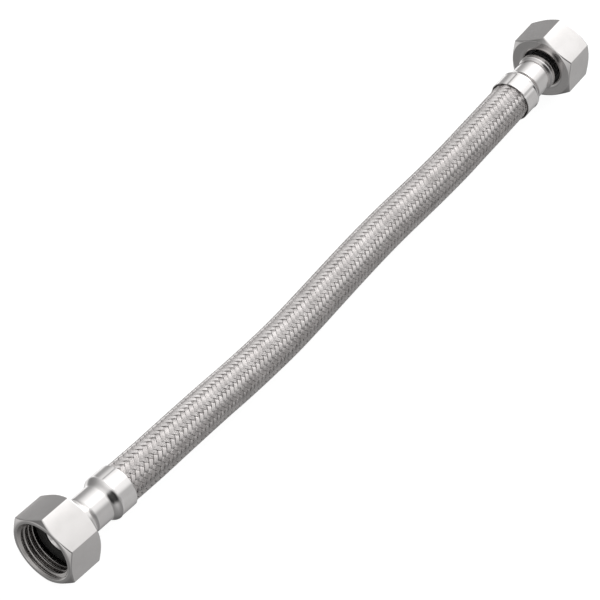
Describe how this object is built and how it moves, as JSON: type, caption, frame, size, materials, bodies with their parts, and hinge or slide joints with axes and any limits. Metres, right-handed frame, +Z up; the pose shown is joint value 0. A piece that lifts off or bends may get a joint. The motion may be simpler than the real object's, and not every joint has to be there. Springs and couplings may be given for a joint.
{
  "type": "braided hose",
  "caption": "Short braided water hose with a crimped ferrule and a swivel hex union nut at each end.",
  "frame": {"origin": "on the surface that the line lies on, midway between the two nuts", "axes": "+X from end A's open face to end B's, along the line between the nuts; +Z up, square to the nut flats that it lies on; +Y by the right-hand rule"},
  "size_m": [0.301, 0.0282, 0.024],
  "materials": {
    "nut": "bright plated brass, flats softly satin",
    "slip_ring": "black nylon",
    "gasket": "black moulded rubber",
    "insert": "bright nickel plate",
    "ferrule": "polished stainless steel",
    "inner_tube": "black rubber",
    "braid": "bright stainless wire, woven"
  },
  "bodies": {
    "hose": {"braid": "braid", "inner_tube": "inner_tube", "insert_a": "insert", "insert_b": "insert", "ferrule_a": "ferrule", "ferrule_b": "ferrule", "gasket_a": "gasket", "gasket_b": "gasket"},
    "ring_a": {"slip_ring_a": "slip_ring"},
    "nut_a": {"nut_a": "nut"},
    "ring_b": {"slip_ring_b": "slip_ring"},
    "nut_b": {"nut_b": "nut"}
  },
  "joints": [
    {"name": "swivel_a", "type": "hinge", "parent": "hose", "child": "ring_a", "pos_m": [-0.1429, 0, 0.012], "axis": [0.9986, -0.0523, 0], "continuous": true},
    {"name": "slide_a", "type": "slide", "parent": "ring_a", "child": "nut_a", "axis": [0.9986, -0.0523, 0], "range_m": [0, 0.014]},
    {"name": "swivel_b", "type": "hinge", "parent": "hose", "child": "ring_b", "pos_m": [0.1429, 0, 0.012], "axis": [-0.9993, -0.0384, 0], "continuous": true},
    {"name": "slide_b", "type": "slide", "parent": "ring_b", "child": "nut_b", "axis": [-0.9993, -0.0384, 0], "range_m": [0, 0.014]}
  ]
}
